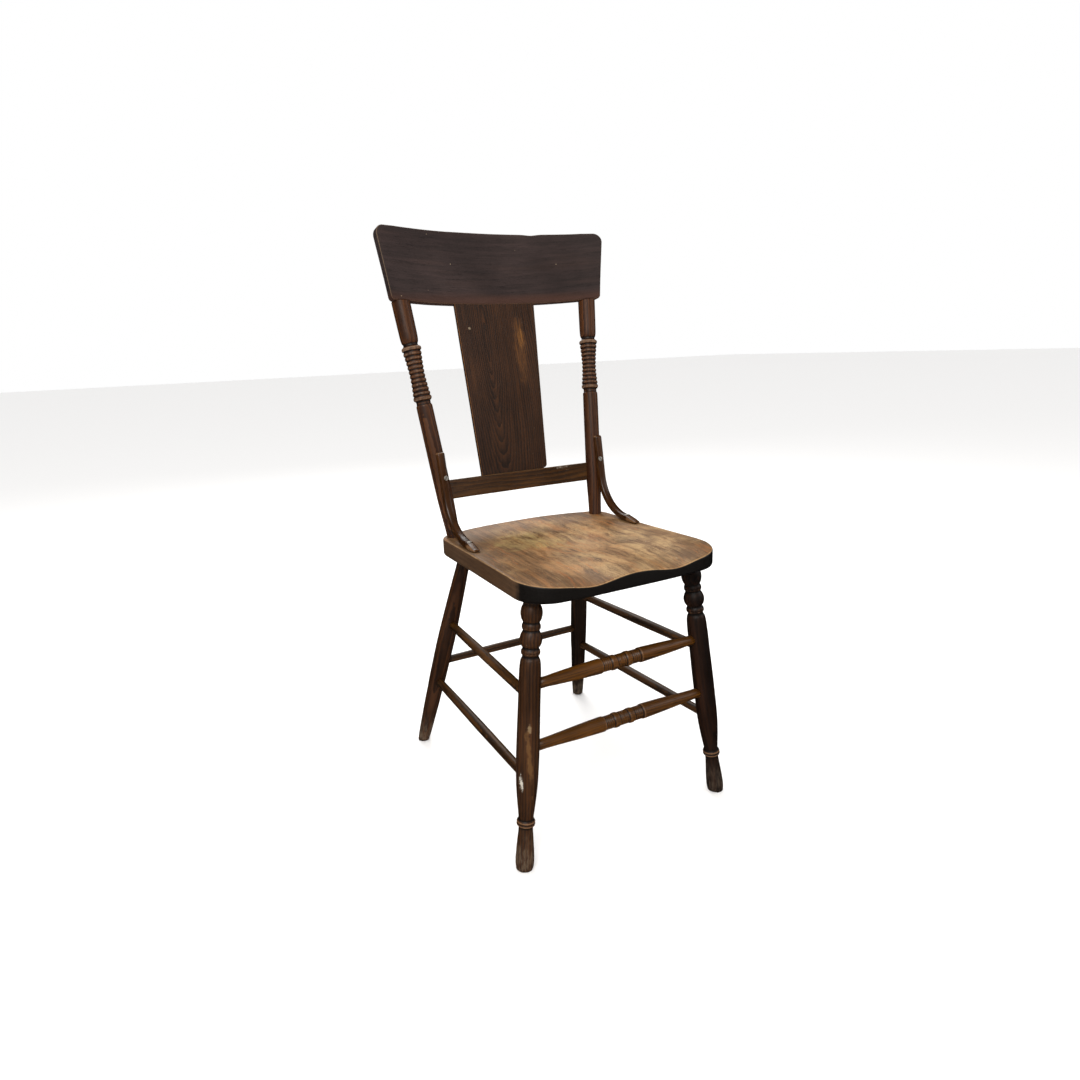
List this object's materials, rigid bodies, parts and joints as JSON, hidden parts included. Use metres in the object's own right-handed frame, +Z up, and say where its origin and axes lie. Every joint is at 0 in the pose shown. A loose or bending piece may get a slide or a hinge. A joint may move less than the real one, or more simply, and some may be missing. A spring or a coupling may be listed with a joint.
{
  "type": "wooden side chair",
  "caption": "Antique stained hardwood side chair with saddle seat, turned legs and stretchers, ringed back posts, bent crest rail, plain splat and bentwood hip braces.",
  "frame": {"origin": "on the floor, at the bottom centre of the whole chair's box", "axes": "+Z up, the sitter faces -Y, +X to the right as seen from the front; left nodes are at -X"},
  "size_m": [0.452, 0.4714, 0.9753],
  "materials": {
    "dark_wood": "satin, worn dark walnut stain over open-grained hardwood",
    "crest_wood": "dull, nearly black grey-brown stain with fine horizontal grain",
    "splat_wood": "satin, dark brown with figured vertical grain",
    "bent_wood": "semi-gloss, dark brown bentwood",
    "seat_wood": "worn through to tan wood on top, dark at the edges",
    "screw_steel": "aged, dark slotted heads with bright rims"
  },
  "bodies": {
    "root": {"seat": "seat_wood", "front_leg_left": "dark_wood", "front_leg_right": "dark_wood", "rear_leg_left": "dark_wood", "rear_leg_right": "dark_wood", "front_stretcher_upper": "dark_wood", "front_stretcher_lower": "dark_wood", "side_stretcher_upper_left": "dark_wood", "side_stretcher_upper_right": "dark_wood", "side_stretcher_lower_left": "dark_wood", "side_stretcher_lower_right": "dark_wood", "rear_stretcher": "dark_wood", "back_post_left": "dark_wood", "back_post_right": "dark_wood", "crest_rail": "crest_wood", "back_splat": "splat_wood", "lower_back_rail": "dark_wood", "hip_brace_left": "bent_wood", "hip_brace_right": "bent_wood", "brace_post_screws": "screw_steel", "brace_seat_screws": "screw_steel"}
  },
  "joints": []
}
